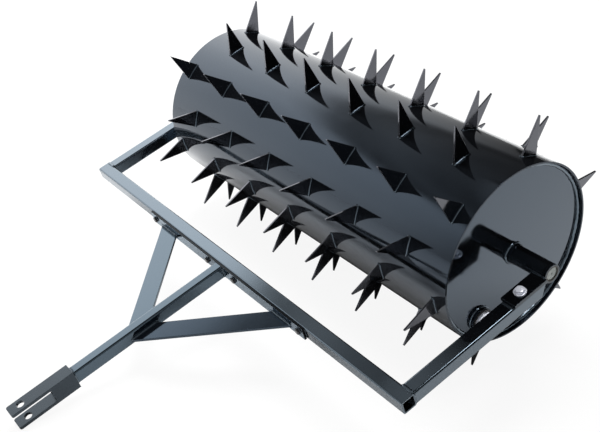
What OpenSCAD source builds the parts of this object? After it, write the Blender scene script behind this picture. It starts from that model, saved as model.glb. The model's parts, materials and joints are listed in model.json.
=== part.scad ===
// Tow-behind drum aerator: a spiked steel drum on a through axle, in a welded
// tube frame with a bolted A-frame drawbar and a two-tongue hitch clevis.
// Millimetres. +X runs along the axle, -Y points forward to the hitch, +Z is up.
// The machine stands at rest: drum on two rows of spike tips, clevis on the floor.

/* [Drum] */
// Outside diameter of the drum shell
drum_d = 305; // [270:1:340]
// Length of the drum shell
drum_len = 775; // [650:5:900]
// Wall of the drum shell
shell_t = 3; // [2:0.5:5]
// Depth of each end disc inside the shell's rim
lip = 8; // [5:0.5:20]
// Thickness of the end discs
disc_t = 3; // [2:0.5:6]

/* [Spikes] */
// Spikes in a full row (the rows between hold one less)
spike_count = 7; // [5:1:9]
// From the rim of the drum to the first spike of a full row
spike_edge = 27.5; // [15:0.5:45]
// Height of a spike above the shell
spike_h = 63; // [45:1:75]
// Width of a spike at its foot
spike_w = 33; // [24:1:45]
// Thickness of the spike plate
spike_t = 3; // [2:0.5:8]
// Width of the blunt tip
spike_tip = 1.5; // [1:0.5:8]

/* [Axle and bearings] */
// Diameter of the through axle
axle_d = 22; // [14:1:24]
// Wall of the bearing bush
bush_t = 1.5; // [1:0.5:3]
// Wall of the bearing sleeve
sleeve_t = 3; // [2:0.5:5]
// From the sleeve's outer end to the outer face of the arm
sleeve_inset = 2; // [0:0.5:16]
// From the end of the axle to the sleeve's outer end
axle_inset = 1; // [0:0.5:4]
// Diameter of the hub collar on the end disc
hub_d = 34; // [31:1:44]
// Length of the hub collar
hub_len = 8; // [5:1:14]

/* [Frame tubes] */
// Outside size of the square frame tube
tube = 25; // [22:1:32]
// Wall of all tubes
tube_wall = 2.5; // [1.5:0.5:3]
// Outside corner radius of all tubes
tube_r = 3.5; // [3.5:0.5:5]
// From the drum's rim to the inner face of each arm
arm_clear = 44.5; // [38:0.5:60]
// From the axle to the front face of the cross tube
reach = 312; // [305:1:360]
// From the axle centre down to the top of the frame
arm_drop = 3.5; // [0:0.5:6]
// From the bearing sleeve to the upper edge of the arm's open rear end
arm_back = 1; // [0.5:0.5:10]
// Slant of the arm's rear end, from its upper to its lower edge
arm_slant = 12; // [0:1:20]

/* [Bearing plates] */
// Thickness of the plate that carries each sleeve
plate_t = 6; // [4:0.5:8]
// Overhang of the plate on each side of the arm
plate_over = 1.5; // [0:0.5:4]
// From the sleeve to the front edge of the plate
plate_len = 68; // [60:1:90]
// From the front edge of the plate to its bolt
plate_bolt_in = 26; // [18:1:30]

/* [Hitch] */
// Length of the hitch plate along the cross tube
hitch_plate_len = 470; // [440:5:560]
// Thickness of the hitch plate
hitch_plate_t = 4; // [3:0.5:8]
// From the end of the hitch plate to its outer bolt
hitch_bolt_edge = 13; // [12:1:25]
// From the drawbar's side to the inner bolt
hitch_bolt_gap = 31; // [14:1:45]
// Width of the drawbar tube
drawbar_w = 20; // [18:1:32]
// Height of the drawbar tube
drawbar_h = 25; // [20:1:36]
// Width of the diagonal brace bars
brace_w = 35; // [25:1:45]
// Thickness of the diagonal brace bars
brace_t = 5; // [3:0.5:8]
// Height of the braces above the drawbar's underside
brace_lift = 5; // [0:0.5:8]
// Angle between a brace and the drawbar
brace_angle = 44; // [35:1:50]
// From the outer bolt to the outer edge of the brace
brace_bolt_gap = 22; // [18:1:40]

/* [Clevis] */
// From the axle to the tip of the clevis
hitch_reach = 738; // [700:1:820]
// Length of the clevis
clevis_len = 116; // [105:1:140]
// Length of the two open tongues
tongue_len = 72; // [50:1:85]
// Thickness of the clevis's top and bottom
clevis_plate = 5.5; // [4:0.5:7]
// Thickness of the clevis's sides
clevis_side = 2.5; // [2:0.5:5]
// Diameter of the hitch pin hole
pin_hole_d = 14; // [10:0.5:16]
// From the tip of the clevis to the hitch pin hole
pin_hole_in = 22; // [16:1:30]
// Radius of the tongue corners
tongue_r = 4; // [3:0.5:10]

/* [Filler] */
// From the inside of the shell to the centre of the filler
filler_edge = 34; // [28:0.5:60]
// Angle of the filler round the axle, from the rear over the top
filler_angle = 234.5; // [200:0.5:260]
// Diameter of the filler's plug
plug_d = 30; // [20:1:34]
// Wall of the filler's socket
socket_wall = 6; // [4:0.5:9]
// Length of the filler's socket outside the disc
socket_len = 6; // [4:0.5:14]
// Diameter of the plug's head
plug_head_d = 34; // [28:1:42]
// Thickness of the plug's head
plug_head_t = 4; // [3:0.5:6]
// Across the flats of the plug's square drive
drive_w = 13; // [10:1:17]
// Length of the plug's square drive
drive_len = 7; // [5:1:10]
// Thickness of the plug's gasket
gasket_t = 2; // [1:0.5:4]

/* [Fasteners] */
// Diameter of the bearing bolts
bolt_d = 8; // [6:1:10]
// Across the flats of the bearing bolts' heads and nuts
hex_af = 13; // [12:0.5:17]
// Height of a bearing bolt's head
head_h = 5.3; // [4:0.1:7]
// Height of a bearing bolt's nut
nut_h = 6.5; // [5:0.5:8]
// Outside diameter of the bearing bolts' washers
washer_d = 20; // [18:0.5:22]
// Thickness of the bearing bolts' washers
washer_t = 1.6; // [1:0.1:2.5]
// Diameter of the hitch bolts
small_bolt_d = 6; // [5:1:8]
// Across the flats of the hitch bolts' heads and nuts
small_hex_af = 10; // [9:0.5:13]
// Height of a hitch bolt's head
small_head_h = 4; // [3:0.1:6]
// Height of a hitch bolt's nut
small_nut_h = 5; // [4:0.5:7]

/* [Hidden] */
$fn = 64;

// Colours, as the photograph shows them
BLACK = [0.10, 0.11, 0.12];
DARK = [0.06, 0.06, 0.07];
ZINC = [0.78, 0.79, 0.80];
BRONZE = [0.60, 0.45, 0.25];
RUBBER = [0.04, 0.04, 0.04];

// Named clearances
run_gap = 0.05;   // axle in its bush, radial
weld_gap = 0.1;   // a welded edge against a curved face
seat_gap = 0.05;  // a piece pressed or slipped into another, radial
hole_gap = 0.4;   // bolt in its hole, radial
end_play = 0.5;   // drum between the two bearings, each side
thread_gap = 0.1; // plug in its socket, radial

// Drum
rows = 12;
row_step = 360 / rows;
first_row = 90 - row_step / 2;
drum_r = drum_d / 2;
shell_in = drum_r - shell_t;
rim_x = drum_len / 2;
disc_x = rim_x - lip;                    // outer face of an end disc
tip_r = drum_r + spike_h;
spike_pitch = (drum_len - 2 * spike_edge) / (spike_count - 1);

// The drum stands on two rows, half a step each side of straight down, on the
// outer corners of their blunt tips
axle_h = tip_r * cos(row_step / 2) + spike_tip / 2 * sin(row_step / 2);

// Axle and bearings, along +X
axle_r = axle_d / 2;
bush_in = axle_r + run_gap;
bush_out = bush_in + bush_t;
sleeve_in = bush_out + seat_gap;
sleeve_out = sleeve_in + sleeve_t;
arm_in_x = rim_x + arm_clear;
arm_out_x = arm_in_x + tube;
arm_x = arm_in_x + tube / 2;
sleeve_x0 = disc_x + hub_len + end_play;
sleeve_x1 = arm_out_x - sleeve_inset;
axle_end_x = sleeve_x1 - axle_inset;

// Frame levels, measured from the axle
top_z = -arm_drop;
tube_z = top_z - tube / 2;
drawbar_z = top_z - drawbar_h / 2;
brace_z = top_z - drawbar_h + brace_lift;
plate_top_z = top_z + plate_t;

// Frame places forward of the axle
arm_end = sleeve_out + arm_back;
arm_front = reach - tube;
plate_front = sleeve_out + plate_len;
plate_bolt_u = plate_front - plate_bolt_in;
hitch_front = reach + hitch_plate_t;

// Clevis round the drawbar's front end
clevis_w = drawbar_w + 2 * (seat_gap + clevis_side);
clevis_h = drawbar_h + 2 * (seat_gap + clevis_plate);
clevis_back = hitch_reach - clevis_len;
tongue_back = hitch_reach - tongue_len;
clevis_low = drawbar_z - clevis_h / 2;
pin_u = hitch_reach - pin_hole_in;

// The frame leans forward until the clevis meets the floor
lean_span = sqrt(pow(hitch_reach, 2) + pow(clevis_low, 2));
lean = asin(axle_h / lean_span) - atan(-clevis_low / hitch_reach);

// The origin lies on the floor under the middle of the machine. The rows repeat
// every quarter turn, so the spikes reach as far back as they do down.
rear_y = axle_h;
front_y = -hitch_reach * cos(lean) - (clevis_low + clevis_h) * sin(lean);
axle_y = -(rear_y + front_y) / 2;

// Bolts
bolt_r = bolt_d / 2;
hole_r = bolt_r + hole_gap;
small_hole_r = small_bolt_d / 2 + hole_gap;
thread_end = 2;                          // thread past a nut
outer_bolt_x = hitch_plate_len / 2 - hitch_bolt_edge;
inner_bolt_x = drawbar_w / 2 + hitch_bolt_gap;
hitch_bolt_xs = [-outer_bolt_x, -inner_bolt_x, inner_bolt_x, outer_bolt_x];
hitch_grip = hitch_plate_t + tube_wall;
plate_grip = plate_t + tube + 2 * washer_t;

// Braces, in plan
brace_out_x = outer_bolt_x - brace_bolt_gap;
brace_in_x = brace_out_x - brace_w / cos(brace_angle);

// Filler
filler_r = shell_in - filler_edge;
plug_r = plug_d / 2;
socket_in = plug_r + thread_gap;
socket_out = socket_in + socket_wall;
gasket_x = disc_x + socket_len;
gasket_out = (plug_head_d / 2 + socket_out) / 2;
plug_x = gasket_x + gasket_t;

// Places of the two assemblies

// Frame coordinates: origin on the axle, leaning with the frame
module on_frame() {
    translate([0, axle_y, axle_h]) rotate([lean, 0, 0]) children();
}

// Drum coordinates: origin on the axle
module on_drum() {
    translate([0, axle_y, axle_h]) children();
}

// Right-hand piece as drawn for side 1, its mirror image for side -1
module on_side(side) {
    if (side > 0) children();
    else mirror([1, 0, 0]) children();
}

// Axis at the filler, with Z pointing out of the right end disc
module at_filler(x) {
    on_drum() rotate([filler_angle, 0, 0])
        translate([x, filler_r, 0]) rotate([0, 90, 0]) children();
}

// Shapes that repeat

// Rectangle with round corners, centred
module rounded(w, h, r) {
    square([w - 2 * r, h], center = true);
    square([w, h - 2 * r], center = true);
    for (x = [-1, 1], y = [-1, 1])
        translate([x * (w / 2 - r), y * (h / 2 - r)]) circle(r);
}

// Section of a rectangular tube
module tube_section(w, h) {
    difference() {
        rounded(w, h, tube_r);
        rounded(w - 2 * tube_wall, h - 2 * tube_wall, tube_r - tube_wall);
    }
}

// Tube that runs forward from u0 to u1, its centre at x, z
module forward_tube(w, h, x, z, u0, u1) {
    translate([x, -u0, z]) rotate([90, 0, 0])
        linear_extrude(u1 - u0) tube_section(w, h);
}

// Ring along Z from z = 0
module ring(r_out, r_in, h) {
    difference() {
        cylinder(r = r_out, h = h);
        translate([0, 0, -1]) cylinder(r = r_in, h = h + 2);
    }
}

// Ring along X from x0 to x1
module x_ring(r_out, r_in, x0, x1) {
    translate([x0, 0, 0]) rotate([0, 90, 0]) ring(r_out, r_in, x1 - x0);
}

// Hexagonal prism from z = 0, by its size across the flats
module hexagon(af, h) {
    cylinder(r = af / 2 / cos(30), h = h, $fn = 6);
}

// Hex bolt: the underside of its head at z = 0, the shank downwards
module hex_bolt(d, af, head, shank) {
    hexagon(af, head);
    translate([0, 0, -shank]) cylinder(d = d, h = shank + 1);
}

// Hex nut from z = 0 downwards
module hex_nut(d, af, h) {
    translate([0, 0, -h]) difference() {
        hexagon(af, h);
        translate([0, 0, -1]) cylinder(r = d / 2 + seat_gap, h = h + 2);
    }
}

// Hitch bolt places on the face at u forward of the axle, Z pointing forward
module at_hitch_bolts(u) {
    on_frame() for (x = hitch_bolt_xs)
        translate([x, -u, tube_z]) rotate([90, 0, 0]) children();
}

// Bearing bolt places at height z, Z pointing up
module at_bearing_bolts(z) {
    on_frame() for (side = [-1, 1])
        translate([side * arm_x, -plate_bolt_u, z]) children();
}

// Frame

// Front tube of the welded frame, open at both ends, its front wall drilled for
// the hitch bolts
module cross_tube() {
    color(BLACK) difference() {
        on_frame() translate([0, -reach + tube / 2, tube_z]) rotate([0, 90, 0])
            linear_extrude(2 * arm_out_x, center = true) tube_section(tube, tube);
        at_hitch_bolts(reach - tube_wall - 1)
            cylinder(r = small_hole_r, h = tube_wall + 2);
    }
}

// Room behind the slanted rear end of an arm, as a section seen along the axle
module arm_end_cut() {
    polygon([
        [-arm_end + arm_slant / 10, top_z + tube / 10],
        [-arm_end - arm_slant * 1.1, top_z - tube * 1.1],
        [-arm_end + tube, top_z - tube * 1.1],
        [-arm_end + tube, top_z + tube / 10]
    ]);
}

// Side tube, butted to the back of the cross tube and drilled for the bearing bolt
module arm(side) {
    color(BLACK) difference() {
        on_frame() forward_tube(tube, tube, side * arm_x, tube_z, arm_end, arm_front);
        on_frame() translate([side * arm_x, 0, 0]) rotate([90, 0, 90])
            linear_extrude(tube + 2, center = true) arm_end_cut();
        at_bearing_bolts(top_z - tube - 1) cylinder(r = hole_r, h = tube + 2);
    }
}
module left_arm() arm(-1);
module right_arm() arm(1);

// Flat plate bolted to the front of the cross tube
module hitch_plate() {
    color(BLACK) difference() {
        on_frame() translate([-hitch_plate_len / 2, -hitch_front, top_z - tube])
            cube([hitch_plate_len, hitch_plate_t, tube]);
        at_hitch_bolts(reach - 1) cylinder(r = small_hole_r, h = hitch_plate_t + 2);
    }
}

// Drawbar tube, welded to the hitch plate and let into the clevis
module drawbar() {
    color(BLACK) on_frame()
        forward_tube(drawbar_w, drawbar_h, 0, drawbar_z, hitch_front, tongue_back);
}

// Flat diagonal bar from the hitch plate to the side of the drawbar
module brace(side) {
    side_x = drawbar_w / 2;
    color(BLACK) on_frame() on_side(side) translate([0, 0, brace_z])
        linear_extrude(brace_t) polygon([
            [brace_in_x, -hitch_front],
            [brace_out_x, -hitch_front],
            [side_x, -hitch_front - (brace_out_x - side_x) / tan(brace_angle)],
            [side_x, -hitch_front - (brace_in_x - side_x) / tan(brace_angle)]
        ]);
}
module left_brace() brace(-1);
module right_brace() brace(1);

// Top or bottom wall of the clevis, with round corners at the tip
module clevis_tongue() {
    tip_y = -hitch_reach + tongue_r;
    translate([-clevis_w / 2, tip_y]) square([clevis_w, clevis_len - tongue_r]);
    translate([-clevis_w / 2 + tongue_r, -hitch_reach])
        square([clevis_w - 2 * tongue_r, tongue_r + 1]);
    for (side = [-1, 1])
        translate([side * (clevis_w / 2 - tongue_r), tip_y]) circle(tongue_r);
}

// Box that grips the drawbar, cut away at the sides to leave two tongues
module clevis() {
    side_h = clevis_h - 2 * clevis_plate;
    color(BLACK) on_frame() difference() {
        union() {
            for (z = [clevis_low, clevis_low + clevis_h - clevis_plate])
                translate([0, 0, z]) linear_extrude(clevis_plate) clevis_tongue();
            for (x = [-clevis_w / 2, clevis_w / 2 - clevis_side])
                translate([x, -tongue_back, clevis_low + clevis_plate])
                    cube([clevis_side, tongue_back - clevis_back, side_h]);
        }
        translate([0, -pin_u, clevis_low - 1])
            cylinder(d = pin_hole_d, h = clevis_h + 2);
    }
}

module hitch_bolts() {
    color(DARK) at_hitch_bolts(hitch_front)
        hex_bolt(small_bolt_d, small_hex_af, small_head_h,
            hitch_grip + small_nut_h + thread_end);
}

// Nuts welded inside the cross tube, behind its front wall
module hitch_nuts() {
    color(DARK) at_hitch_bolts(reach - tube_wall)
        hex_nut(small_bolt_d, small_hex_af, small_nut_h);
}

// Bearings

// Flat plate on top of the arm, its rear end shaped to the sleeve
module bearing_plate(side) {
    plate_w = tube + 2 * plate_over;
    color(BLACK) difference() {
        on_frame() translate([side * arm_x - plate_w / 2, -plate_front, top_z])
            cube([plate_w, plate_front, plate_t]);
        on_frame() on_side(side) translate([arm_in_x - plate_over - 1, 0, 0])
            rotate([0, 90, 0]) cylinder(r = sleeve_out + weld_gap, h = plate_w + 2);
        at_bearing_bolts(top_z - 1) cylinder(r = hole_r, h = plate_t + 2);
    }
}
module left_bearing_plate() bearing_plate(-1);
module right_bearing_plate() bearing_plate(1);

// Round sleeve welded to the end of the bearing plate
module bearing_sleeve(side) {
    color(BLACK) on_frame() on_side(side)
        x_ring(sleeve_out, sleeve_in, sleeve_x0, sleeve_x1);
}
module left_bearing_sleeve() bearing_sleeve(-1);
module right_bearing_sleeve() bearing_sleeve(1);

// Bronze bush inside the sleeve, in which the axle turns
module bush(side) {
    color(BRONZE) on_frame() on_side(side)
        x_ring(bush_out, bush_in, sleeve_x0, sleeve_x1);
}
module left_bush() bush(-1);
module right_bush() bush(1);

module bearing_bolts() {
    color(ZINC) at_bearing_bolts(plate_top_z + washer_t)
        hex_bolt(bolt_d, hex_af, head_h, plate_grip + nut_h + thread_end);
}

module bearing_washers() {
    color(ZINC) {
        at_bearing_bolts(plate_top_z) ring(washer_d / 2, hole_r, washer_t);
        at_bearing_bolts(top_z - tube - washer_t) ring(washer_d / 2, hole_r, washer_t);
    }
}

module bearing_nuts() {
    color(ZINC) at_bearing_bolts(top_z - tube - washer_t) hex_nut(bolt_d, hex_af, nut_h);
}

// Drum

// Rolled shell, open at both ends
module drum_shell() {
    color(BLACK) on_drum() x_ring(drum_r, shell_in, -rim_x, rim_x);
}

// Disc set inside the shell's rim, bored for the axle
module end_disc(side) {
    on_drum() on_side(side)
        x_ring(shell_in - seat_gap, axle_r + seat_gap, disc_x - disc_t, disc_x);
}
module left_end_disc() {
    color(BLACK) end_disc(-1);
}
module right_end_disc() {
    color(BLACK) difference() {
        end_disc(1);
        at_filler(disc_x - disc_t - 1) cylinder(r = socket_in, h = disc_t + 2);
    }
}

// Collar that ties the axle to the end disc
module hub(side) {
    color(BLACK) on_drum() on_side(side)
        x_ring(hub_d / 2, axle_r + seat_gap, disc_x, disc_x + hub_len);
}
module left_hub() hub(-1);
module right_hub() hub(1);

// Through axle, held along X by the hub collars between the two sleeves
module axle() {
    color(ZINC) on_drum() rotate([0, 90, 0])
        cylinder(r = axle_r, h = 2 * axle_end_x, center = true);
}

// Spike: a flat triangular plate across the axle, its foot cut to the shell
module spike() {
    foot = drum_r - spike_w / 4;
    difference() {
        rotate([90, 0, 90]) linear_extrude(spike_t, center = true) polygon([
            [foot, -spike_w / 2],
            [sqrt(pow(drum_r, 2) - pow(spike_w / 2, 2)), -spike_w / 2],
            [tip_r, -spike_tip / 2],
            [tip_r, spike_tip / 2],
            [sqrt(pow(drum_r, 2) - pow(spike_w / 2, 2)), spike_w / 2],
            [foot, spike_w / 2]
        ]);
        rotate([0, 90, 0])
            cylinder(r = drum_r + weld_gap, h = spike_t + 2, center = true);
    }
}

// Row of spikes along the drum: odd rows are full, even rows stand half a pitch in
module spike_row(n) {
    count = n % 2 == 1 ? spike_count : spike_count - 1;
    start = -spike_pitch * (count - 1) / 2;
    color(BLACK) on_drum() rotate([first_row + (n - 1) * row_step, 0, 0])
        for (i = [0 : count - 1])
            translate([start + i * spike_pitch, 0, 0]) spike();
}
module spike_row_01() spike_row(1);
module spike_row_02() spike_row(2);
module spike_row_03() spike_row(3);
module spike_row_04() spike_row(4);
module spike_row_05() spike_row(5);
module spike_row_06() spike_row(6);
module spike_row_07() spike_row(7);
module spike_row_08() spike_row(8);
module spike_row_09() spike_row(9);
module spike_row_10() spike_row(10);
module spike_row_11() spike_row(11);
module spike_row_12() spike_row(12);

// Filler

// Threaded ring welded to the right end disc
module filler_socket() {
    color(BLACK) at_filler(disc_x) ring(socket_out, socket_in, socket_len);
}

// Rubber ring under the plug's head
module plug_gasket() {
    color(RUBBER) at_filler(gasket_x) ring(gasket_out, socket_in, gasket_t);
}

// Screw plug with a square drive
module filler_plug() {
    thread_len = gasket_t + socket_len + disc_t;
    color(ZINC) at_filler(plug_x) union() {
        translate([0, 0, -thread_len]) cylinder(r = plug_r, h = thread_len + 1);
        cylinder(d = plug_head_d, h = plug_head_t);
        translate([0, 0, plug_head_t + drive_len / 2 - 0.5])
            cube([drive_w, drive_w, drive_len + 1], center = true);
    }
}

cross_tube();
left_arm();
right_arm();
hitch_plate();
drawbar();
left_brace();
right_brace();
clevis();
hitch_bolts();
hitch_nuts();
left_bearing_plate();
right_bearing_plate();
left_bearing_sleeve();
right_bearing_sleeve();
left_bush();
right_bush();
bearing_bolts();
bearing_washers();
bearing_nuts();
drum_shell();
left_end_disc();
right_end_disc();
left_hub();
right_hub();
axle();
spike_row_01();
spike_row_02();
spike_row_03();
spike_row_04();
spike_row_05();
spike_row_06();
spike_row_07();
spike_row_08();
spike_row_09();
spike_row_10();
spike_row_11();
spike_row_12();
filler_socket();
plug_gasket();
filler_plug();
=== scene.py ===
import json
import math
import bpy
from mathutils import Matrix, Vector


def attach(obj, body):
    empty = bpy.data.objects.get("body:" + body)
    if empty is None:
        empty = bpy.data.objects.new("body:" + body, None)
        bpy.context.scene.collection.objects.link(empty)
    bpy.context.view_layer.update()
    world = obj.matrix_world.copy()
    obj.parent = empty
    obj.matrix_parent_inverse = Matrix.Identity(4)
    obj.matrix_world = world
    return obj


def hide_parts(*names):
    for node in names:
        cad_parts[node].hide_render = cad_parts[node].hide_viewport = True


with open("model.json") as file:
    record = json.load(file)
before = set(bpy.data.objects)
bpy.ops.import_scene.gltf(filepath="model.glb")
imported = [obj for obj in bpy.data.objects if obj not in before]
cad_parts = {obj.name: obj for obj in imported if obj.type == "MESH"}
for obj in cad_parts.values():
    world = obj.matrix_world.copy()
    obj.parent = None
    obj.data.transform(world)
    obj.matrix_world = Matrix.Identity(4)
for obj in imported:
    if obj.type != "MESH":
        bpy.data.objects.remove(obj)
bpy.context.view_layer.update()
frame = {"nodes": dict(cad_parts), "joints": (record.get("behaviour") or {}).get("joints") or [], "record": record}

# Frame tubes and bars
# Square steel tube and flat bar, cut and welded, then stove-enamelled in glossy black.
# The coat has a fine orange peel and rounded edges. In creases and corners an
# ambient-occlusion mask makes it rough, a painted shade that darkens them.
mm = 0.001
nodes = frame["nodes"]

def enamel(name, ior, rough, peel, tint=(0.65, 0.83, 1.0), shade_creases=False):
    deep_black = (0.0014, 0.0016, 0.002, 1.0)
    faded_black = (0.003, 0.0033, 0.004, 1.0)
    haze_spread = 0.065
    edge_round = 0.7 * mm
    peel_depth = 0.4 * mm
    made = bpy.data.materials.new(name)
    made.use_nodes = True
    tree = made.node_tree
    tree.nodes.clear()
    place = tree.nodes.new("ShaderNodeTexCoord")
    cloud = tree.nodes.new("ShaderNodeTexNoise")
    cloud.inputs["Scale"].default_value = 9.0
    cloud.inputs["Detail"].default_value = 4.0
    tone = tree.nodes.new("ShaderNodeValToRGB")
    tone.color_ramp.elements[0].position = 0.35
    tone.color_ramp.elements[0].color = deep_black
    tone.color_ramp.elements[1].position = 0.7
    tone.color_ramp.elements[1].color = faded_black
    haze = tree.nodes.new("ShaderNodeTexNoise")
    haze.inputs["Scale"].default_value = 34.0
    haze.inputs["Detail"].default_value = 3.0
    shine = tree.nodes.new("ShaderNodeMapRange")
    shine.inputs["From Min"].default_value = 0.3
    shine.inputs["From Max"].default_value = 0.7
    shine.inputs["To Min"].default_value = rough
    shine.inputs["To Max"].default_value = rough + haze_spread
    grain = tree.nodes.new("ShaderNodeTexNoise")
    grain.inputs["Scale"].default_value = 420.0
    grain.inputs["Detail"].default_value = 1.0
    edge = tree.nodes.new("ShaderNodeBevel")
    edge.samples = 6
    edge.inputs["Radius"].default_value = edge_round
    skin = tree.nodes.new("ShaderNodeBump")
    skin.inputs["Strength"].default_value = peel
    skin.inputs["Distance"].default_value = peel_depth
    coat = tree.nodes.new("ShaderNodeBsdfPrincipled")
    coat.inputs["IOR"].default_value = ior
    coat.inputs["Specular Tint"].default_value = (*tint, 1.0)
    out = tree.nodes.new("ShaderNodeOutputMaterial")
    for texture in (cloud, haze, grain):
        tree.links.new(place.outputs["Object"], texture.inputs["Vector"])
    tree.links.new(cloud.outputs["Fac"], tone.inputs["Fac"])
    tree.links.new(tone.outputs["Color"], coat.inputs["Base Color"])
    tree.links.new(haze.outputs["Fac"], shine.inputs["Value"])
    tree.links.new(shine.outputs["Result"], coat.inputs["Roughness"])
    tree.links.new(edge.outputs["Normal"], skin.inputs["Normal"])
    tree.links.new(grain.outputs["Fac"], skin.inputs["Height"])
    tree.links.new(skin.outputs["Normal"], coat.inputs["Normal"])
    tree.links.new(coat.outputs["BSDF"], out.inputs["Surface"])
    # Painted shade: an ambient-occlusion mask roughens the coat in creases and corners so that they read darker.
    if shade_creases:
        crease_reach = 8.0 * mm
        crease = tree.nodes.new("ShaderNodeAmbientOcclusion")
        crease.samples = 8
        crease.inputs["Distance"].default_value = crease_reach
        dull = tree.nodes.new("ShaderNodeMapRange")
        dull.inputs["From Min"].default_value = 0.6
        dull.inputs["From Max"].default_value = 0.92
        dull.inputs["To Min"].default_value = 1.0
        dull.inputs["To Max"].default_value = 0.0
        rougher = tree.nodes.new("ShaderNodeMath")
        rougher.operation = "MAXIMUM"
        tree.links.new(crease.outputs["AO"], dull.inputs["Value"])
        tree.links.new(shine.outputs["Result"], rougher.inputs[0])
        tree.links.new(dull.outputs["Result"], rougher.inputs[1])
        tree.links.new(rougher.outputs["Value"], coat.inputs["Roughness"])
    return made

frame_paint = enamel("frame_gloss_black", ior=2.15, rough=0.045, peel=0.04, shade_creases=True)
for name in ("cross_tube", "left_arm", "right_arm"):
    nodes[name].data.materials[0] = frame_paint
bar_paint = enamel("bar_gloss_black", ior=1.95, rough=0.05, peel=0.04,
                   tint=(0.58, 0.8, 1.0), shade_creases=True)
for name in ("drawbar", "left_brace"):
    nodes[name].data.materials[0] = bar_paint
# Painted shade: the right brace gets a darker copy of the bar paint, lower in IOR and tint, for the darker
# reflections it shows.
shaded_brace_paint = enamel("shaded_brace_gloss_black", ior=1.56, rough=0.05, peel=0.04,
                     tint=(0.45, 0.7, 1.0), shade_creases=True)
nodes["right_brace"].data.materials[0] = shaded_brace_paint

# Hitch plate
# Flat bar, sheared to length, painted and bolted to the cross tube. Its broad faces get a
# copy of the paint with a much higher IOR, a painted highlight that makes them bright.
# Its narrow edges get a near-black specular tint, a painted shade for the dark gap line
# between plate and tube.
gap_shade_black = (0.03, 0.035, 0.04, 1.0)
mounts = {mount["name"]: mount for mount in frame["record"]["mounts"]}
pin_axis = Vector(mounts["hitch_pin"]["axis"])
lean = math.atan2(-pin_axis.y, pin_axis.z)
plate_paint = enamel("plate_gloss_black", ior=3.2, rough=0.06, peel=0.05, shade_creases=True)
nodes["hitch_plate"].data.materials[0] = plate_paint
tree = plate_paint.node_tree
coat = tree.nodes["Principled BSDF"]
place = tree.nodes["Texture Coordinate"]
# Painted shade: faces that point neither forward nor back, the narrow edges, get a near-black specular tint.
facing = tree.nodes.new("ShaderNodeVectorMath")
facing.operation = "DOT_PRODUCT"
facing.inputs[1].default_value = (0.0, -math.cos(lean), -math.sin(lean))
either_way = tree.nodes.new("ShaderNodeMath")
either_way.operation = "ABSOLUTE"
gap_shade_tone = tree.nodes.new("ShaderNodeValToRGB")
gap_shade_tone.color_ramp.elements[0].position = 0.3
gap_shade_tone.color_ramp.elements[0].color = gap_shade_black
gap_shade_tone.color_ramp.elements[1].position = 0.7
gap_shade_tone.color_ramp.elements[1].color = coat.inputs["Specular Tint"].default_value
tree.links.new(place.outputs["Normal"], facing.inputs[0])
tree.links.new(facing.outputs["Value"], either_way.inputs[0])
tree.links.new(either_way.outputs["Value"], gap_shade_tone.inputs["Fac"])
tree.links.new(gap_shade_tone.outputs["Color"], coat.inputs["Specular Tint"])

# Bearing plates and sleeves
# Flat plates on the arms' ends, each with a round sleeve welded across its end.
# They are dipped in the same paint, which is thinner and less bright here.
bearing_paint = enamel("bearing_gloss_black", ior=1.55, rough=0.06, peel=0.04)
for word in ("left", "right"):
    nodes[word + "_bearing_plate"].data.materials[0] = bearing_paint
    nodes[word + "_bearing_sleeve"].data.materials[0] = bearing_paint

# Clevis
# Welded steel box round the drawbar's front end. Its top and bottom are thick bars
# that run on as two drilled tongues, and its sides are thinner. The paint is scuffed.
nodes["clevis"].data.materials[0] = enamel("clevis_worn_black", ior=1.55, rough=0.16, peel=0.06)

# Frame welds
# Arc-welded beads, 3 to 5 mm wide, where tubes, plates and bars of the frame
# meet. They are painted over with the frame, and their ripples show.
bpy.ops.object.select_all(action="DESELECT")
joints = {joint["name"]: joint for joint in frame["joints"]}
axle_at = Vector(joints["drum_roll"]["pos_m"])
on_frame = Matrix.Translation(axle_at) @ Matrix.Rotation(lean, 4, "X")

def pick(piece, kind, test):
    bpy.ops.object.mode_set(mode="EDIT")
    bpy.ops.mesh.select_mode(type=kind)
    bpy.ops.mesh.select_all(action="DESELECT")
    bpy.ops.object.mode_set(mode="OBJECT")
    mesh = piece.data
    kinds = {"VERT": mesh.vertices, "EDGE": mesh.edges, "FACE": mesh.polygons}
    for part in kinds[kind]:
        part.select = test(part)
    bpy.ops.object.mode_set(mode="EDIT")

def rippled_rod(sides, radius, length, pitch, swell):
    bpy.ops.mesh.primitive_cylinder_add(vertices=sides, radius=radius, depth=length)
    rod = bpy.context.object
    rings = 2 * max(2, round(length / pitch))

    def runs_along(edge):
        a, b = (rod.data.vertices[end].co.z for end in edge.vertices)
        return abs(a - b) > length / 2

    def on_ripple(spot):
        return round((spot.co.z / length + 0.5) * rings) % 2 == 1

    pick(rod, "EDGE", runs_along)
    bpy.ops.mesh.subdivide(number_cuts=rings - 1)
    pick(rod, "VERT", on_ripple)
    bpy.ops.transform.shrink_fatten(value=swell)
    bpy.ops.object.mode_set(mode="OBJECT")
    bpy.ops.object.shade_smooth()
    return rod

def joined(name, pieces):
    bpy.ops.object.select_all(action="DESELECT")
    for piece in pieces:
        piece.select_set(True)
    whole = pieces[0]
    bpy.context.view_layer.objects.active = whole
    bpy.ops.object.join()
    whole.name = name
    whole.data.name = name
    return whole

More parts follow.
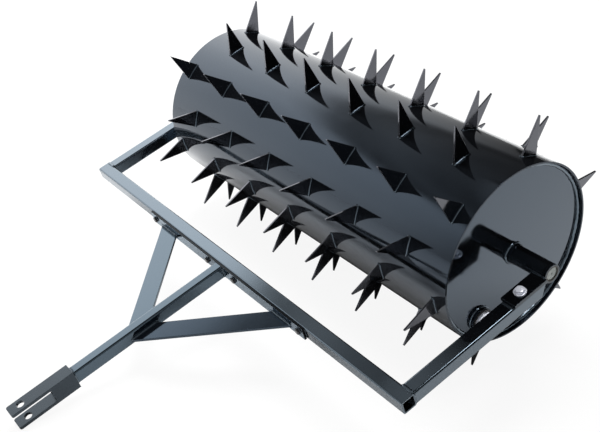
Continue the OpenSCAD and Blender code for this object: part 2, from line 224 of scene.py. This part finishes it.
# Places on the leaning frame are in mm from the axle: x to the right, u forward, v up.
frame_top, frame_low = -3.5, -28.5
arm_in, arm_out, tube_back = 432.0, 457.0, 287.0
plate_front, drawbar_side = 316.0, 10.0
brace_low, brace_top = -23.5, -18.5
brace_in, brace_out = 151.34, 200.0
brace_near, brace_far = 462.4, 512.7
clevis_back = 622.0
sleeve_in, sleeve_out = 431.0, 454.5
sleeve_u, sleeve_v = 15.6, 3.0
arm_short, arm_flush = 2.0, 0.6
arm_sink_u, arm_sink_v = 0.4, 0.9
arm_seam_u = tube_back + arm_sink_u
corner = 3.0
arm_top_bead, arm_bead, arm_outer_bead = 2.6, 2.0, 1.3
sleeve_bead, brace_bead, drawbar_bead, clevis_bead = 1.6, 1.6, 1.7, 1.8

def straight_bead(start, end, thick):
    a, b = (on_frame @ (Vector((x, -u, v)) * mm) for x, u, v in (start, end))
    bead = rippled_rod(sides=8, radius=thick * mm, length=(b - a).length,
                       pitch=1.5 * thick * mm, swell=0.2 * thick * mm)
    aim = (b - a).to_track_quat("Z", "Y").to_matrix().to_4x4()
    bead.matrix_world = Matrix.Translation((a + b) / 2) @ aim
    bpy.ops.object.transform_apply()
    return bead

def seam_across(x_start, x_end, u, v, thick):
    return straight_bead((x_start, u, v), (x_end, u, v), thick)

def seam_along(x, u_start, u_end, v, thick):
    return straight_bead((x, u_start, v), (x, u_end, v), thick)

def seam_down(x, u, thick):
    return straight_bead((x, u, frame_top - corner), (x, u, frame_low + corner), thick)

for side, word in ((-1, "left"), (1, "right")):
    arm_start, arm_end = side * (arm_in + arm_short), side * (arm_out - arm_short)
    brace_start, brace_end = side * brace_in, side * brace_out
    flank = side * drawbar_side
    seams = [
        seam_across(arm_start, arm_end, arm_seam_u, frame_top - arm_sink_v, arm_top_bead),
        seam_across(arm_start, arm_end, arm_seam_u, frame_low + arm_sink_v, arm_bead),
        seam_down(side * arm_in, tube_back, arm_bead),
        seam_down(side * (arm_out - arm_flush), tube_back, arm_outer_bead),
        seam_across(side * sleeve_in, side * sleeve_out, sleeve_u, sleeve_v, sleeve_bead),
        seam_across(brace_start, brace_end, plate_front, brace_top, brace_bead),
        seam_across(brace_start, brace_end, plate_front, brace_low, brace_bead),
        seam_along(flank, brace_near, brace_far, brace_top, brace_bead),
        seam_along(flank, brace_near, brace_far, brace_low, brace_bead),
        seam_down(flank, plate_front, drawbar_bead),
        seam_down(flank, clevis_back, clevis_bead)]
    if side > 0:
        bar_start, bar_end = -drawbar_side + corner, drawbar_side - corner
        seams += [
            seam_across(bar_start, bar_end, clevis_back, frame_top, clevis_bead),
            seam_across(bar_start, bar_end, clevis_back, frame_low, clevis_bead),
            seam_across(bar_start, bar_end, plate_front, frame_low, drawbar_bead)]
    welds = joined(word + "_frame_welds", seams)
    welds.data.materials.append(frame_paint)
    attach(welds, "frame")

# Hitch bolts and nuts
# Small steel hex bolts with a black oxide finish, 10 mm across the flats. They
# pull the hitch plate against the cross tube, into nuts inside it.
crisp = math.radians(35.0)

def plated(name, dark, light, rough, grain, metal):
    rough_spread = 0.1
    grain_depth = 0.2 * mm
    made = bpy.data.materials.new(name)
    made.use_nodes = True
    tree = made.node_tree
    tree.nodes.clear()
    place = tree.nodes.new("ShaderNodeTexCoord")
    stretch = tree.nodes.new("ShaderNodeMapping")
    stretch.inputs["Scale"].default_value = grain
    cloud = tree.nodes.new("ShaderNodeTexNoise")
    cloud.inputs["Scale"].default_value = 1.0
    cloud.inputs["Detail"].default_value = 3.0
    tone = tree.nodes.new("ShaderNodeValToRGB")
    tone.color_ramp.elements[0].position = 0.3
    tone.color_ramp.elements[0].color = (*dark, 1.0)
    tone.color_ramp.elements[1].position = 0.7
    tone.color_ramp.elements[1].color = (*light, 1.0)
    shine = tree.nodes.new("ShaderNodeMapRange")
    shine.inputs["To Min"].default_value = rough
    shine.inputs["To Max"].default_value = rough + rough_spread
    skin = tree.nodes.new("ShaderNodeBump")
    skin.inputs["Strength"].default_value = 0.08
    skin.inputs["Distance"].default_value = grain_depth
    coat = tree.nodes.new("ShaderNodeBsdfPrincipled")
    coat.inputs["Metallic"].default_value = metal
    out = tree.nodes.new("ShaderNodeOutputMaterial")
    tree.links.new(place.outputs["Object"], stretch.inputs["Vector"])
    tree.links.new(stretch.outputs["Vector"], cloud.inputs["Vector"])
    tree.links.new(cloud.outputs["Fac"], tone.inputs["Fac"])
    tree.links.new(cloud.outputs["Fac"], shine.inputs["Value"])
    tree.links.new(cloud.outputs["Fac"], skin.inputs["Height"])
    tree.links.new(tone.outputs["Color"], coat.inputs["Base Color"])
    tree.links.new(shine.outputs["Result"], coat.inputs["Roughness"])
    tree.links.new(skin.outputs["Normal"], coat.inputs["Normal"])
    tree.links.new(coat.outputs["BSDF"], out.inputs["Surface"])
    return made

def cut(piece, tool, operation):
    step = piece.modifiers.new("cut", "BOOLEAN")
    step.operation = operation
    step.object = tool
    bpy.context.view_layer.objects.active = piece
    bpy.ops.object.modifier_apply(modifier=step.name)
    bpy.data.objects.remove(tool)

def hexagon(flats, height, low_chamfer):
    slope = 0.07 * flats
    rim = 0.58 * flats
    chamfer = 0.12 * flats
    base = slope if low_chamfer else 0.0
    bpy.ops.mesh.primitive_cylinder_add(vertices=6, radius=flats / math.sqrt(3), depth=height,
                                        location=(0.0, 0.0, height / 2))
    head = bpy.context.object
    bpy.ops.mesh.primitive_cylinder_add(vertices=48, radius=rim, depth=height - base - slope,
                                        location=(0.0, 0.0, (height + base - slope) / 2))
    turned = bpy.context.object

    def is_chamfered(face):
        return face.normal.z > 0.9 or (low_chamfer and face.normal.z < -0.9)

    pick(turned, "FACE", is_chamfered)
    bpy.ops.mesh.inset(thickness=chamfer, depth=slope)
    bpy.ops.object.mode_set(mode="OBJECT")
    cut(head, turned, "INTERSECT")
    bpy.ops.object.select_all(action="DESELECT")
    head.select_set(True)
    bpy.ops.object.transform_apply()
    return head

def hex_bolt(flats, height, diameter, shank, pitch):
    thread_depth = 0.3 * pitch
    head = hexagon(flats, height, low_chamfer=False)
    rod = rippled_rod(sides=20, radius=diameter / 2 - thread_depth, length=shank,
                      pitch=pitch, swell=thread_depth)
    rod.location.z = -shank / 2
    bpy.ops.object.transform_apply()
    bolt = joined("bolt", [head, rod])
    bpy.ops.object.shade_smooth_by_angle(angle=crisp)
    return bolt

def copies(model, name, places):
    made = []
    for place in places:
        twin = model.copy()
        twin.data = model.data.copy()
        twin.data.transform(place)
        bpy.context.scene.collection.objects.link(twin)
        made.append(twin)
    return joined(name, made)

hitch_bolt_x = (-222.0, -41.0, 41.0, 222.0)
tube_middle = (frame_top + frame_low) / 2
forward = Matrix.Rotation(math.pi / 2, 4, "X")
at_hitch_bolts = [on_frame @ Matrix.Translation(Vector((x, -plate_front, tube_middle)) * mm) @ forward
                  for x in hitch_bolt_x]
black_oxide = plated("black_oxide", dark=(0.02, 0.02, 0.021), light=(0.05, 0.05, 0.053),
                     rough=0.2, grain=(700.0, 700.0, 700.0), metal=0.0)
small_bolt = hex_bolt(flats=10.0 * mm, height=4.0 * mm, diameter=6.0 * mm,
                      shank=13.5 * mm, pitch=1.0 * mm)
small_bolt.data.materials.append(black_oxide)
hitch_bolts = copies(small_bolt, "hex_hitch_bolts", at_hitch_bolts)
bpy.data.objects.remove(small_bolt)
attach(hitch_bolts, "frame")
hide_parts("hitch_bolts")
nodes["hitch_nuts"].data.materials[0] = black_oxide

# Bearing bolts, washers and nuts
# Bright zinc-plated hex hardware, 13 mm across the flats, on 20 mm washers. One
# bolt goes down through each bearing plate and arm, with its nut underneath.
bolt_x, bolt_u, plate_top = 444.5, 57.6, 2.5
key_size, thread_pitch = 13.0, 1.25
washer_thick, washer_mid_r, washer_width, washer_round = 1.6, 7.2, 5.6, 0.25
nut_height, nut_thread_r, nut_thread_length, nut_thread_depth = 6.5, 4.0, 12.5, 0.3
bright_zinc = plated("bright_zinc", dark=(0.76, 0.79, 0.9), light=(0.92, 0.94, 1.0),
                     rough=0.2, grain=(420.0, 420.0, 420.0), metal=0.5)

def at_bearing_bolts(v):
    return [on_frame @ Matrix.Translation(Vector((x, -bolt_u, v)) * mm) for x in (-bolt_x, bolt_x)]

big_bolt = hex_bolt(flats=key_size * mm, height=5.3 * mm, diameter=8.0 * mm,
                    shank=42.7 * mm, pitch=thread_pitch * mm)
big_bolt.data.materials.append(bright_zinc)
bearing_bolts = copies(big_bolt, "hex_bearing_bolts", at_bearing_bolts(plate_top + washer_thick))
bpy.data.objects.remove(big_bolt)
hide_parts("bearing_bolts")

bpy.ops.mesh.primitive_plane_add(size=1.0, location=(washer_mid_r * mm, 0.0, washer_thick / 2 * mm),
                                 rotation=(math.pi / 2, 0.0, 0.0))
washer = bpy.context.object
washer.scale = (washer_width * mm, washer_thick * mm, 1.0)
bpy.ops.object.transform_apply()
bpy.ops.object.mode_set(mode="EDIT")
bpy.ops.mesh.select_all(action="SELECT")
bpy.ops.mesh.bevel(offset=washer_round * mm, segments=2, affect="VERTICES")
bpy.ops.mesh.delete(type="ONLY_FACE")
bpy.ops.mesh.select_all(action="SELECT")
bpy.ops.mesh.spin(steps=48, angle=2 * math.pi, center=(0.0, 0.0, 0.0), axis=(0.0, 0.0, 1.0))
bpy.ops.mesh.select_all(action="SELECT")
bpy.ops.mesh.remove_doubles(threshold=1e-6)
bpy.ops.mesh.normals_make_consistent(inside=False)
bpy.ops.object.mode_set(mode="OBJECT")
bpy.ops.object.shade_smooth_by_angle(angle=math.radians(50.0))
washer.data.materials.append(bright_zinc)
washers = copies(washer, "flat_bearing_washers",
                 at_bearing_bolts(plate_top) + at_bearing_bolts(frame_low - washer_thick))
bpy.data.objects.remove(washer)
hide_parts("bearing_washers")

nut = hexagon(key_size * mm, nut_height * mm, low_chamfer=True)
thread = rippled_rod(sides=20, radius=nut_thread_r * mm, length=nut_thread_length * mm,
                     pitch=thread_pitch * mm, swell=nut_thread_depth * mm)
thread.location.z = nut_height / 2 * mm
bpy.ops.object.transform_apply()
cut(nut, thread, "DIFFERENCE")
nut.select_set(True)
bpy.ops.object.shade_smooth_by_angle(angle=crisp)
nut.data.materials.append(bright_zinc)
nuts = copies(nut, "hex_bearing_nuts", at_bearing_bolts(frame_low - washer_thick - nut_height))
bpy.data.objects.remove(nut)
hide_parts("bearing_nuts")
for piece in (bearing_bolts, washers, nuts):
    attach(piece, "frame")

# Bushes
# Rings of sintered bronze, dark with oil, that carry the axle. They are pressed
# into the bearing sleeves.
oiled_bronze = plated("oiled_bronze", dark=(0.016, 0.013, 0.010), light=(0.045, 0.034, 0.022),
                      rough=0.35, grain=(900.0, 900.0, 900.0), metal=0.6)
for name in ("left_bush", "right_bush"):
    nodes[name].data.materials[0] = oiled_bronze

# Axle
# Drawn steel bar right through the drum, faced and chamfered on the lathe, with
# a small centre hole in each end. It turns with the drum.
axle_r, axle_length, axle_chamfer = 11.0, 908.0, 0.9
end_land, centre_taper, centre_depth = 8.4, 1.2, 2.5
drawn_steel = plated("drawn_steel", dark=(0.22, 0.245, 0.235), light=(0.32, 0.345, 0.335),
                     rough=0.38, grain=(700.0, 90.0, 90.0), metal=0.4)
bpy.ops.mesh.primitive_cylinder_add(vertices=72, radius=axle_r * mm, depth=axle_length * mm,
                                    rotation=(0.0, math.pi / 2, 0.0))
axle = bpy.context.object
axle.name = "turned_axle"
bpy.ops.object.transform_apply()

def on_end_ring(edge):
    a, b = (axle.data.vertices[end].co.x for end in edge.vertices)
    return abs(a - b) < 1.0 * mm

def is_end_face(face):
    return abs(face.normal.x) > 0.99

pick(axle, "EDGE", on_end_ring)
bpy.ops.mesh.bevel(offset=axle_chamfer * mm, segments=2)
pick(axle, "FACE", is_end_face)
bpy.ops.mesh.inset(thickness=end_land * mm)
bpy.ops.mesh.inset(thickness=centre_taper * mm, depth=-centre_depth * mm)
bpy.ops.object.mode_set(mode="OBJECT")
bpy.ops.object.shade_smooth_by_angle(angle=crisp)
axle.data.transform(Matrix.Translation(axle_at))
axle.data.materials.append(drawn_steel)
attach(axle, "drum")
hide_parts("axle")

# Drum shell, end discs, hubs and filler socket
# Rolled sheet-steel shell with turned collars and a threaded ring, all in the
# same deep black gloss. The end discs get a copy of it with a higher IOR, a painted
# highlight that makes their reflections brighter.
drum_paint = enamel("drum_gloss_black", ior=1.55, rough=0.045, peel=0.03, tint=(0.56, 0.75, 1.0))
for name in ("drum_shell", "left_hub", "right_hub", "filler_socket"):
    nodes[name].data.materials[0] = drum_paint
# Painted highlight: a higher-IOR copy of the drum paint for the end discs.
disc_paint = enamel("disc_gloss_black", ior=1.87, rough=0.045, peel=0.02, tint=(0.6, 0.78, 1.0))
for name in ("left_end_disc", "right_end_disc"):
    nodes[name].data.materials[0] = disc_paint

# Spikes
# Triangles of 3 mm plate, stood on edge and welded to the shell on both faces.
# Each foot has a thin bead that follows the curve of the shell.
def arc_bead(radius, thick, sweep, steps, uneven):
    swell = 0.22 * thick * mm
    bpy.ops.mesh.primitive_circle_add(vertices=6, radius=thick * mm, location=(0.0, radius * mm, 0.0))
    bead = bpy.context.object
    bpy.ops.object.transform_apply()
    bpy.ops.object.mode_set(mode="EDIT")
    bpy.ops.mesh.select_all(action="SELECT")
    bpy.ops.mesh.spin(steps=steps, angle=sweep, center=(0.0, 0.0, 0.0), axis=(1.0, 0.0, 0.0))
    bpy.ops.mesh.select_all(action="SELECT")
    bpy.ops.mesh.remove_doubles(threshold=1e-6)
    bpy.ops.mesh.fill_holes(sides=6)
    bpy.ops.mesh.select_all(action="SELECT")
    bpy.ops.mesh.normals_make_consistent(inside=False)

    def on_ripple(spot):
        turn = abs(math.atan2(spot.co.z, spot.co.y))
        return round(turn / sweep * steps) % 2 == 1

    pick(bead, "VERT", on_ripple)
    bpy.ops.transform.shrink_fatten(value=swell)
    bpy.ops.mesh.select_all(action="SELECT")
    bpy.ops.transform.vertex_random(offset=uneven * thick * mm, seed=steps)
    bpy.ops.object.mode_set(mode="OBJECT")
    bpy.ops.object.shade_smooth()
    return bead

shell_r, spike_half_width, spike_half_thick = 152.5, 16.5, 1.5
first_row, row_step, rows = 75.0, 30.0, 12
full_row, spike_pitch = 7, 120.0
bead_lift, bead_off_face = 0.3, 0.5
foot_sweep = 2 * math.asin(spike_half_width / shell_r)
foot_bead_x = spike_half_thick + bead_off_face
spike_paint = enamel("spike_gloss_black", ior=1.95, rough=0.06, peel=0.05, tint=(0.85, 0.88, 1.0))
weld_paint = enamel("weld_gloss_black", ior=2.1, rough=0.05, peel=0.03)
foot_bead = arc_bead(shell_r + bead_lift, thick=1.6, sweep=foot_sweep, steps=10, uneven=0.16)
foot_bead.data.materials.append(weld_paint)
for row in range(rows):
    number = "%02d" % (row + 1)
    nodes["spike_row_" + number].data.materials[0] = spike_paint
    count = full_row - row % 2
    start = -spike_pitch * (count - 1) / 2
    feet = [start + i * spike_pitch + face * foot_bead_x for i in range(count) for face in (-1, 1)]
    turn = math.radians(first_row + row * row_step) + foot_sweep / 2
    aim = Matrix.Translation(axle_at) @ Matrix.Rotation(turn, 4, "X")
    welds = copies(foot_bead, "spike_welds_" + number,
                   [aim @ Matrix.Translation((x * mm, 0.0, 0.0)) for x in feet])
    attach(welds, "drum")
bpy.data.objects.remove(foot_bead)

# Drum end welds
# Rippled beads all round: end disc to shell, hub to end disc, and the filler's
# socket to the right end disc.
disc_x, disc_r, hub_r, socket_r = 379.5, 149.5, 17.0, 21.1
rim_inset = 2.4
full_turn = 2 * math.pi
filler_at = Vector(joints["plug_turn"]["pos_m"])
end_weld_paint = enamel("end_weld_black", ior=2.3, rough=0.16, peel=0.12)
for side, word in ((-1, "left"), (1, "right")):
    ends = [arc_bead(disc_r - rim_inset, thick=3.4, sweep=full_turn, steps=200, uneven=0.28),
            arc_bead(hub_r, thick=2.2, sweep=full_turn, steps=40, uneven=0.28)]
    for bead in ends:
        bead.data.transform(Matrix.Translation(axle_at + Vector((side * disc_x * mm, 0.0, 0.0))))
    if side > 0:
        socket_bead = arc_bead(socket_r, thick=1.5, sweep=full_turn, steps=70, uneven=0.2)
        socket_bead.data.transform(Matrix.Translation((disc_x * mm, filler_at.y, filler_at.z)))
        ends.append(socket_bead)
    welds = joined(word + "_end_welds", ends)
    welds.data.materials.append(end_weld_paint)
    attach(welds, "drum")

# Filler gasket
# Flat ring of black rubber with a dull moulded skin. It is squeezed between the
# plug's head and the filler's socket.
black_rubber = plated("black_rubber", dark=(0.008, 0.008, 0.008), light=(0.018, 0.018, 0.018),
                      rough=0.6, grain=(1500.0, 1500.0, 1500.0), metal=0.0)
nodes["plug_gasket"].data.materials[0] = black_rubber

# Filler plug
# Turned and zinc-plated screw plug, with a round head, a square drive and a
# coarse thread. It closes the ballast filler in the right end disc.
plug_head_r, plug_head, head_round, head_stand_off = 17.0, 4.0, 0.9, 2.0
drive, drive_length, drive_sunk, drive_round = 13.0, 7.0, 1.0, 0.8
plug_r, plug_thread_length, plug_pitch, plug_thread_depth = 15.0, 11.0, 2.0, 0.6
bpy.ops.mesh.primitive_cylinder_add(vertices=64, radius=plug_head_r * mm, depth=plug_head * mm,
                                    location=(0.0, 0.0, plug_head / 2 * mm))
head = bpy.context.object
bpy.ops.object.transform_apply()

def on_top_ring(edge):
    return all(head.data.vertices[end].co.z > 0.9 * plug_head * mm for end in edge.vertices)

pick(head, "EDGE", on_top_ring)
bpy.ops.mesh.bevel(offset=head_round * mm, segments=3)
bpy.ops.object.mode_set(mode="OBJECT")
drive_middle = plug_head + drive_length / 2 - drive_sunk / 2
bpy.ops.mesh.primitive_cube_add(size=1.0, location=(0.0, 0.0, drive_middle * mm))
square = bpy.context.object
square.scale = (drive * mm, drive * mm, (drive_length + drive_sunk) * mm)
bpy.ops.object.transform_apply()
bpy.ops.object.mode_set(mode="EDIT")
bpy.ops.mesh.select_all(action="SELECT")
bpy.ops.mesh.bevel(offset=drive_round * mm, segments=3)
bpy.ops.object.mode_set(mode="OBJECT")
screw = rippled_rod(sides=48, radius=(plug_r - plug_thread_depth) * mm, length=plug_thread_length * mm,
                    pitch=plug_pitch * mm, swell=plug_thread_depth * mm)
screw.location.z = -plug_thread_length / 2 * mm
bpy.ops.object.transform_apply()
plug = joined("turned_filler_plug", [head, square, screw])
bpy.ops.object.shade_smooth_by_angle(angle=crisp)
outward = Matrix.Rotation(math.pi / 2, 4, "Y")
plug.data.transform(Matrix.Translation(filler_at + Vector((head_stand_off * mm, 0.0, 0.0))) @ outward)
plug.data.materials.append(bright_zinc)
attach(plug, "plug")
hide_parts("filler_plug")

# Floor
# A large pale sheet that runs out of the picture on all sides. For glossy rays its
# colour is darkened in a patch under the drum, a painted shadow.
def ramp(tree, value, low, high, stops):
    span = tree.nodes.new("ShaderNodeMapRange")
    span.inputs["From Min"].default_value = low
    span.inputs["From Max"].default_value = high
    tree.links.new(value, span.inputs["Value"])
    node = tree.nodes.new("ShaderNodeValToRGB")
    band = node.color_ramp
    while len(band.elements) < len(stops):
        band.elements.new(0.5)
    for element, (at, level) in zip(band.elements, stops):
        element.position = (at - low) / (high - low)
        element.color = (level, level, level, 1.0)
    tree.links.new(span.outputs["Result"], node.inputs["Fac"])
    return node.outputs["Color"]

def sums(tree, kind, a, b):
    node = tree.nodes.new("ShaderNodeMath")
    node.operation = kind
    for slot, value in zip(node.inputs, (a, b)):
        if isinstance(value, float):
            slot.default_value = value
        else:
            tree.links.new(value, slot)
    return node.outputs["Value"]

floor_size, floor_drop = 40.0, 0.4 * mm
floor_white, shade_depth = 0.86, 0.88
camera_share, gloss_share = 0.9, 0.03
bpy.ops.mesh.primitive_plane_add(size=floor_size, location=(0.0, 0.0, -floor_drop))
floor = bpy.context.object
floor.name = "floor"
pale = bpy.data.materials.new("floor_pale")
pale.use_nodes = True
tree = pale.node_tree
tree.nodes.clear()
matt = tree.nodes.new("ShaderNodeBsdfDiffuse")
rays = tree.nodes.new("ShaderNodeLightPath")
place = tree.nodes.new("ShaderNodeTexCoord")
parts = tree.nodes.new("ShaderNodeSeparateXYZ")
tree.links.new(place.outputs["Object"], parts.inputs["Vector"])
# Painted shadow: a box under the drum, darkened only where glossy rays see the floor.
along = ramp(tree, parts.outputs["X"], -1.0, 1.0, [
    (-0.6, 0.0), (-0.45, 1.0), (0.34, 1.0), (0.44, 0.0)])
between = ramp(tree, parts.outputs["Y"], -1.0, 1.0, [
    (0.14, 0.0), (0.2, 1.0), (0.4, 1.0), (0.52, 0.0)])
under_drum = sums(tree, "MULTIPLY", along, between)
shade = sums(tree, "MULTIPLY", under_drum, rays.outputs["Is Glossy Ray"])
lit = sums(tree, "SUBTRACT", 1.0, sums(tree, "MULTIPLY", shade, shade_depth))
tree.links.new(sums(tree, "MULTIPLY", lit, floor_white), matt.inputs["Color"])
shown = sums(tree, "MULTIPLY", rays.outputs["Is Camera Ray"], camera_share)
mirrored = sums(tree, "MULTIPLY", rays.outputs["Is Glossy Ray"], gloss_share)
mirrored = sums(tree, "MULTIPLY", mirrored, lit)
glow = tree.nodes.new("ShaderNodeEmission")
glow.inputs["Strength"].default_value = 1.0
both = tree.nodes.new("ShaderNodeMixShader")
out = tree.nodes.new("ShaderNodeOutputMaterial")
tree.links.new(sums(tree, "ADD", shown, mirrored), both.inputs["Fac"])
tree.links.new(matt.outputs["BSDF"], both.inputs[1])
tree.links.new(glow.outputs["Emission"], both.inputs[2])
tree.links.new(both.outputs["Shader"], out.inputs["Surface"])
floor.data.materials.append(pale)

# Light wall
# A white screen that stands far on the left, lit from its middle. The gloss shows
# it, with its soft top edge, and the camera doesn't.
wall_x, wall_front, wall_back, wall_top = -1.8, -3.2, 3.4, 3.4
wall_glow, wall_spill, crown_rise, glow_top = 3.2, 1.6, 2.0, 3.9
bpy.ops.mesh.primitive_plane_add(size=1.0, location=(wall_x, (wall_front + wall_back) / 2, wall_top / 2),
                                 rotation=(0.0, math.pi / 2, 0.0))
screen = bpy.context.object
screen.name = "light_wall"
screen.scale = (wall_top, wall_back - wall_front, 1.0)
bpy.ops.object.transform_apply()
white = bpy.data.materials.new("screen_white")
white.use_nodes = True
tree = white.node_tree
tree.nodes.clear()
place = tree.nodes.new("ShaderNodeTexCoord")
parts = tree.nodes.new("ShaderNodeSeparateXYZ")
tree.links.new(place.outputs["Object"], parts.inputs["Vector"])
across = ramp(tree, parts.outputs["Y"], wall_front, wall_back, [
    (-3.2, 0.2), (-2.75, 0.38), (-2.4, 0.5), (-1.5, 0.66), (-0.9, 0.72), (-0.3, 0.92),
    (0.55, 1.0), (1.2, 0.8), (1.8, 0.48), (2.4, 0.27), (3.0, 0.11), (3.4, 0.05)])
crown = ramp(tree, parts.outputs["Y"], wall_front, wall_back, [
    (-3.2, 0.0), (-1.8, 0.05), (-1.3, 0.17), (-0.5, 0.22), (0.25, 0.19), (3.4, 0.47)])
height = sums(tree, "ADD", parts.outputs["Z"], sums(tree, "MULTIPLY", crown, crown_rise))
upward = ramp(tree, height, 0.0, glow_top, [
    (0.0, 0.8), (0.8, 1.0), (1.96, 1.0), (2.26, 0.95), (2.41, 0.72), (2.56, 0.3),
    (2.71, 0.16), (3.06, 0.2), (3.41, 0.12), (3.86, 0.08)])
rays = tree.nodes.new("ShaderNodeLightPath")
spill = sums(tree, "MULTIPLY", rays.outputs["Is Diffuse Ray"], wall_spill)
strength = sums(tree, "ADD", spill, wall_glow)
shape = sums(tree, "MULTIPLY", across, upward)
glow = tree.nodes.new("ShaderNodeEmission")
out = tree.nodes.new("ShaderNodeOutputMaterial")
tree.links.new(sums(tree, "MULTIPLY", shape, strength), glow.inputs["Strength"])
tree.links.new(glow.outputs["Emission"], out.inputs["Surface"])
screen.data.materials.append(white)
screen.visible_camera = False
screen.visible_shadow = False

# Studio
# White surroundings for the camera, an even light from all round for the floor,
# and for the gloss a dim room that darkens to its back and its ceiling.
even_light = 0.35
studio = bpy.data.worlds.new("studio")
bpy.context.scene.world = studio
studio.use_nodes = True
tree = studio.node_tree
tree.nodes.clear()
look = tree.nodes.new("ShaderNodeTexCoord")
parts = tree.nodes.new("ShaderNodeSeparateXYZ")
tree.links.new(look.outputs["Generated"], parts.inputs["Vector"])
lower = ramp(tree, parts.outputs["Z"], -1.0, 1.0, [
    (-1.0, 1.0), (0.0, 0.6), (0.70, 0.7), (0.84, 0.6), (0.93, 0.15), (1.0, 0.05)])
behind = ramp(tree, parts.outputs["Y"], -1.0, 1.0, [
    (-1.0, 1.0), (0.16, 1.0), (0.22, 0.05), (1.0, 0.05)])
room = sums(tree, "MULTIPLY", lower, behind)
rays = tree.nodes.new("ShaderNodeLightPath")
gloss = sums(tree, "MAXIMUM", rays.outputs["Is Glossy Ray"], rays.outputs["Is Transmission Ray"])
level = tree.nodes.new("ShaderNodeMix")
tree.links.new(gloss, level.inputs["Factor"])
level.inputs["A"].default_value = even_light
tree.links.new(room, level.inputs["B"])
last = tree.nodes.new("ShaderNodeMix")
tree.links.new(rays.outputs["Is Camera Ray"], last.inputs["Factor"])
tree.links.new(level.outputs["Result"], last.inputs["A"])
last.inputs["B"].default_value = 1.0
sky = tree.nodes.new("ShaderNodeBackground")
tree.links.new(last.outputs["Result"], sky.inputs["Strength"])
out = tree.nodes.new("ShaderNodeOutputWorld")
tree.links.new(sky.outputs["Background"], out.inputs["Surface"])

# Lamps
# A broad soft panel overhead for the floor and the pale metal, and a small one
# behind on the right that draws the bright lines on rounded edges.
lamps_aim = Vector((0.0, 0.0, 0.2))

def panel(name, size, watts, azimuth, elevation, far):
    a, e = math.radians(azimuth), math.radians(elevation)
    back = Vector((math.sin(a) * math.cos(e), -math.cos(a) * math.cos(e), math.sin(e)))
    light = bpy.data.lights.new(name, "AREA")
    light.size = size
    light.energy = watts
    lamp = bpy.data.objects.new(name, light)
    bpy.context.scene.collection.objects.link(lamp)
    lamp.location = lamps_aim + back * far
    lamp.rotation_euler = back.to_track_quat("Z", "Y").to_euler()
    return lamp

overhead = panel("overhead_panel", size=1.6, watts=95.0, azimuth=205.0, elevation=75.0, far=2.6)
overhead.visible_glossy = False
edge_lamp = panel("edge_panel", size=0.6, watts=14.0, azimuth=130.0, elevation=67.0, far=2.5)
edge_lamp.visible_diffuse = False

# Camera
# It stands to the right of the hitch and looks down at the machine. It is fitted to
# the spike tips, tube corners and rims of the picture, in that picture's own pixels.
picture_width, picture_height = 600.0, 432.0
focal, centre_x, centre_y = 948.209, 257.21, 239.847
camera = bpy.data.cameras.new("camera")
camera.sensor_width = 36.0
camera.lens = focal * camera.sensor_width / picture_width
camera.shift_x = (picture_width / 2 - centre_x) / picture_width
camera.shift_y = (centre_y - picture_height / 2) / picture_width
camera.clip_start = 0.05
camera.clip_end = 100.0
viewer = bpy.data.objects.new("camera", camera)
bpy.context.scene.collection.objects.link(viewer)
az, el, roll = math.radians(57.557), math.radians(33.073), math.radians(-5.247)
aim = axle_at + Vector((-0.349926, 0.0, -0.334356))
distance = 2.159868
back = Vector((math.sin(az) * math.cos(el), -math.cos(az) * math.cos(el), math.sin(el)))
side = (-back).cross(Vector((0.0, 0.0, 1.0))).normalized()
rise = side.cross(-back)
right = side * math.cos(roll) + rise * math.sin(roll)
up = rise * math.cos(roll) - side * math.sin(roll)
turn = Matrix((right, up, back)).transposed().to_4x4()
viewer.matrix_world = Matrix.Translation(aim + back * distance) @ turn
bpy.context.scene.camera = viewer
bpy.context.scene.view_settings.view_transform = "Standard"
